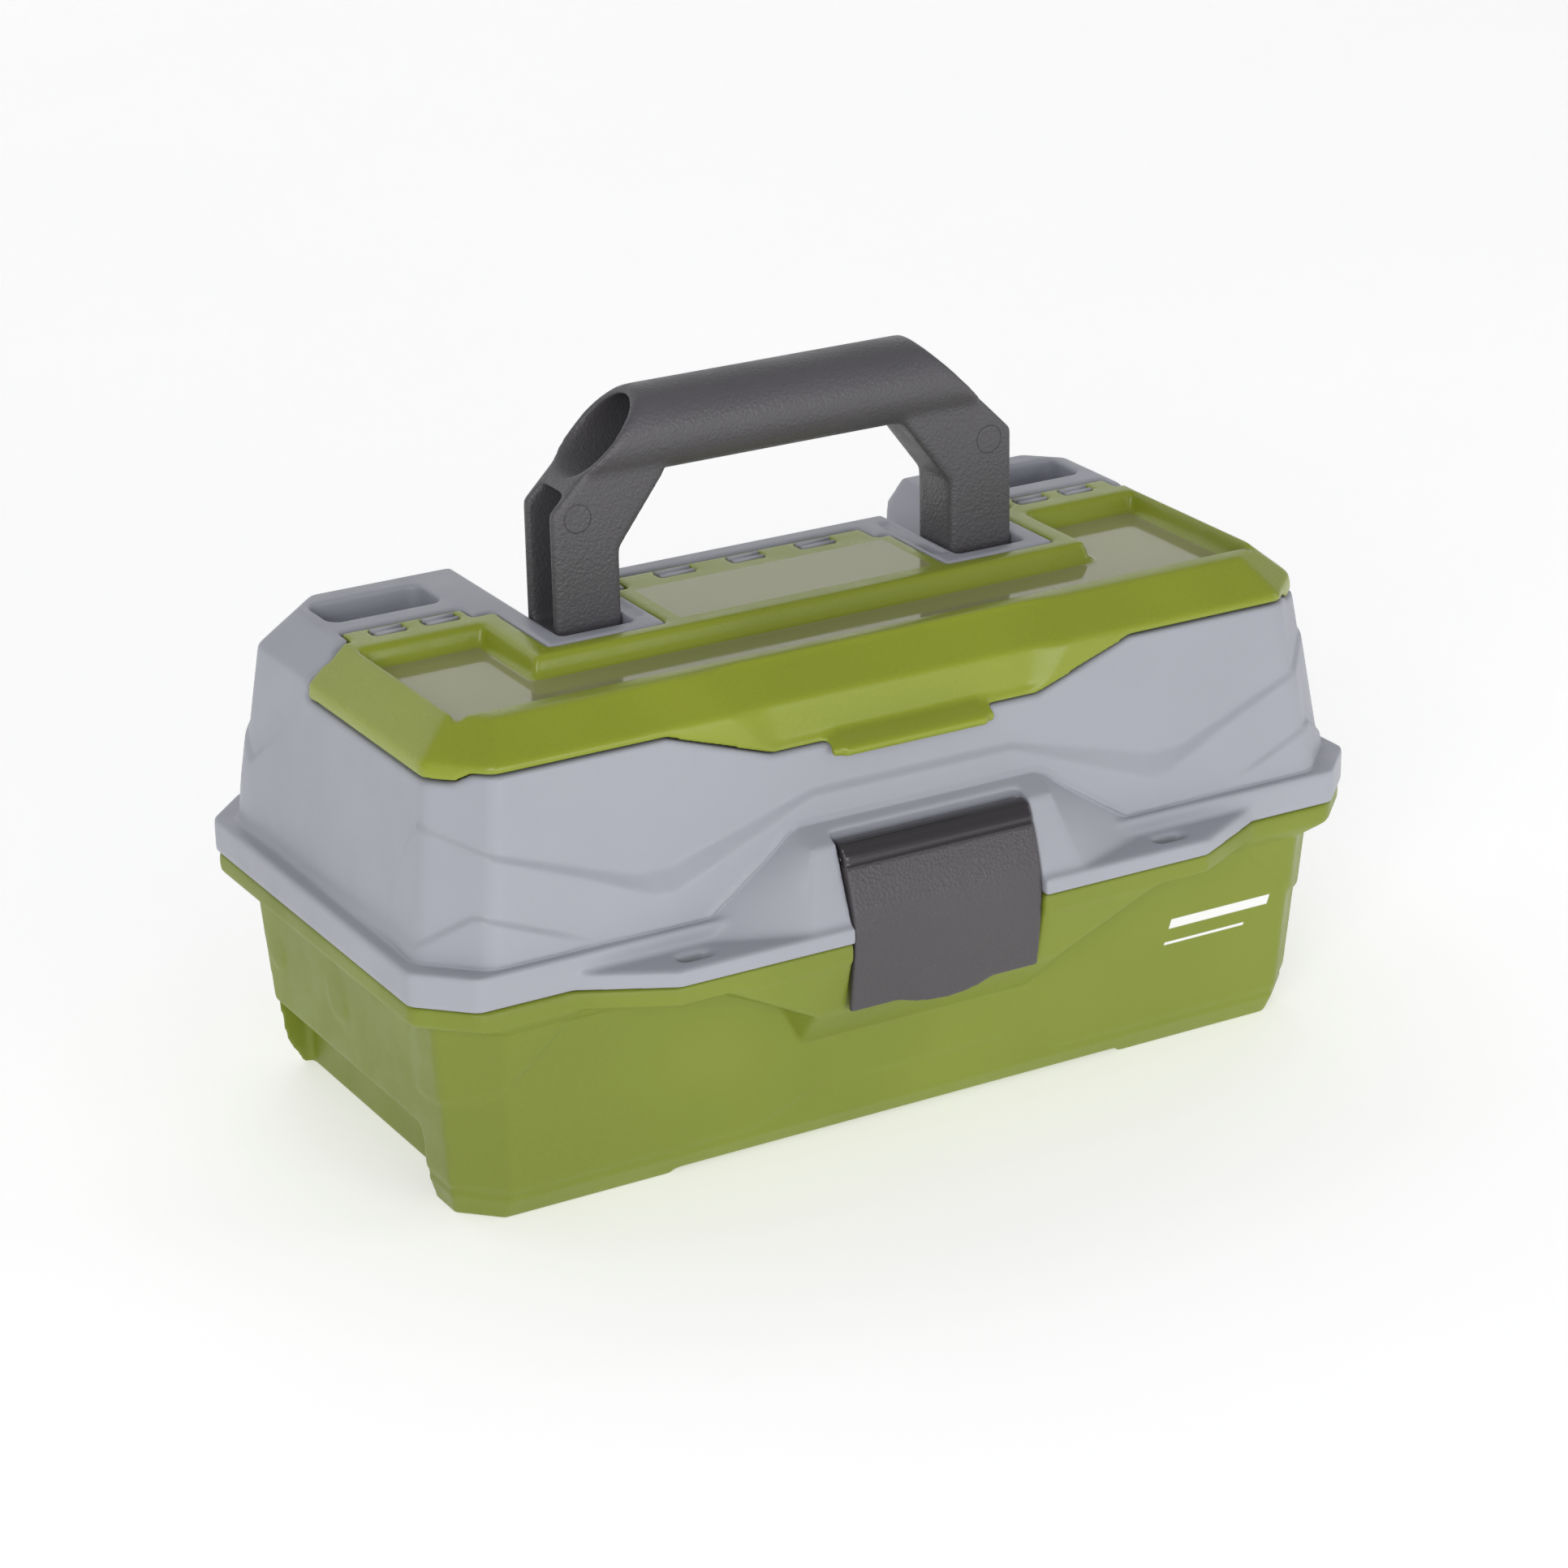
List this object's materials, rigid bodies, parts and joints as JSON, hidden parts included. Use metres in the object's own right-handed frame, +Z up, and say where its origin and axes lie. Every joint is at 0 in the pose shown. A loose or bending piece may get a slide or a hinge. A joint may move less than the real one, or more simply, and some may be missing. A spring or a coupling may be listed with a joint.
{
  "type": "fishing tackle box",
  "caption": "Moulded tackle box with a hinged lid, a flip-up top cover, a folding carry handle, a front latch and a cantilever lift tray.",
  "frame": {"origin": "on the ground under the middle of the box, between its front and back extents", "axes": "+X along the length to the right seen from the latch side, +Y towards the rear hinge, +Z up"},
  "size_m": [0.36, 0.2122, 0.2429],
  "materials": {
    "green_base": "fine grained moulded plastic",
    "grey_lid": "satin moulded plastic",
    "green_cover": "satin moulded plastic with glossy panels",
    "handle_plastic": "leather grained moulded plastic",
    "latch_plastic": "grained moulded plastic",
    "tray_plastic": "satin moulded plastic",
    "divider_plastic": "satin moulded plastic",
    "arm_steel": "zinc plated strip",
    "pin_steel": "drawn steel wire"
  },
  "bodies": {
    "base": {"base_shell": "green_base", "hinge_pin_left": "pin_steel", "hinge_pin_right": "pin_steel", "base_rivets_left": "pin_steel", "base_rivets_right": "pin_steel"},
    "lid": {"lid_front_wall": "grey_lid", "lid_end_wall_left": "grey_lid", "lid_end_wall_right": "grey_lid", "lid_inner_walls": "grey_lid", "lid_trough_walls": "grey_lid", "lid_block_left": "grey_lid", "lid_block_right": "grey_lid", "lid_shell": "grey_lid", "handle_pin_left": "pin_steel", "handle_pin_right": "pin_steel", "tray_pin_left": "pin_steel", "tray_pin_right": "pin_steel", "cover_pin_left": "pin_steel", "cover_pin_middle": "pin_steel", "cover_pin_right": "pin_steel", "latch_pin": "pin_steel"},
    "cover": {"top_cover": "green_cover", "cover_skirt": "green_cover"},
    "handle": {"carry_handle": "handle_plastic"},
    "latch": {"front_latch": "latch_plastic"},
    "rear_arms": {"rear_arm_left": "arm_steel", "rear_arm_right": "arm_steel"},
    "front_arms": {"front_arm_left": "arm_steel", "front_arm_right": "arm_steel"},
    "tray": {"lift_tray": "tray_plastic", "tray_rivets_left": "pin_steel", "tray_rivets_right": "pin_steel", "tray_divider_1": "divider_plastic", "tray_divider_2": "divider_plastic", "tray_divider_3": "divider_plastic", "tray_divider_4": "divider_plastic", "tray_divider_5": "divider_plastic"}
  },
  "joints": [
    {"name": "lid_hinge", "type": "hinge", "parent": "base", "child": "lid", "pos_m": [0, 0.0996, 0.0824], "axis": [-1, 0, 0], "range_deg": [0, 92]},
    {"name": "cover_hinge", "type": "hinge", "parent": "lid", "child": "cover", "pos_m": [0, 0.0252, 0.166], "axis": [-1, 0, 0], "range_deg": [0, 40]},
    {"name": "handle_hinge", "type": "hinge", "parent": "lid", "child": "handle", "pos_m": [0, 0.0053, 0.154], "axis": [-1, 0, 0], "range_deg": [0, 90]},
    {"name": "latch_hinge", "type": "hinge", "parent": "lid", "child": "latch", "pos_m": [0, -0.095, 0.107], "axis": [-1, 0, 0], "range_deg": [0, 100]},
    {"name": "rear_arm_hinge", "type": "hinge", "parent": "base", "child": "rear_arms", "pos_m": [0, 0.062, 0.05], "axis": [-1, 0, 0], "range_deg": [0, 92]},
    {"name": "front_arm_hinge", "type": "hinge", "parent": "base", "child": "front_arms", "pos_m": [0, 0.009, 0.05], "axis": [-1, 0, 0], "range_deg": [0, 92]},
    {"name": "tray_hinge", "type": "hinge", "parent": "rear_arms", "child": "tray", "pos_m": [0, 0.0028, 0.06], "axis": [-1, 0, 0], "range_deg": [-92, 0]}
  ],
  "couplings": [
    {"joint": "rear_arm_hinge", "follows": "lid_hinge", "ratio": 1},
    {"joint": "front_arm_hinge", "follows": "lid_hinge", "ratio": 1},
    {"joint": "tray_hinge", "follows": "lid_hinge", "ratio": -1}
  ]
}
